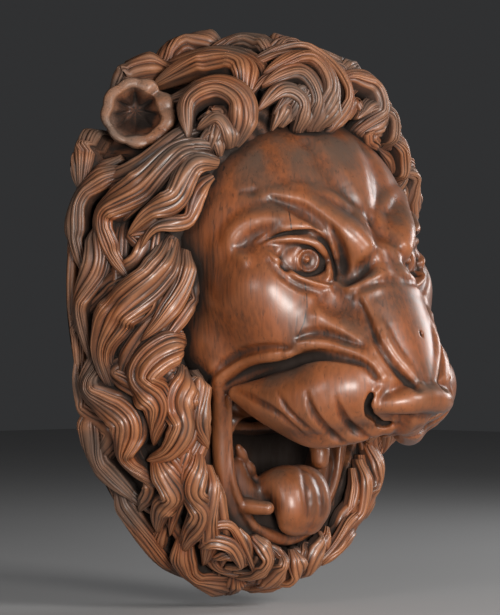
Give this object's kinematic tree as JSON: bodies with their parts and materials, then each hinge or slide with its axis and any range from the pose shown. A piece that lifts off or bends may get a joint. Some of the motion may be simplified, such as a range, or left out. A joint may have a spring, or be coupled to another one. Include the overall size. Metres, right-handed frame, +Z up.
{
  "type": "lion wall mask",
  "caption": "Carved wooden lion mask with a snarling open mouth and a deep waving mane, with a flat back that hangs against a wall",
  "frame": {"origin": "middle of the flat back, in the plane that lies against the wall", "axes": "+Y out of the back into the wall, so the face looks along -Y; +Z up; +X to the lion's left"},
  "size_m": [0.3848, 0.2797, 0.4995],
  "materials": {
    "waxed_wood": "old waxed hardwood, red-brown and polished where it stands proud, dark in the cuts, grey with dust on top and at the rim"
  },
  "bodies": {
    "root": {"lion_mask": "waxed_wood"}
  },
  "joints": []
}
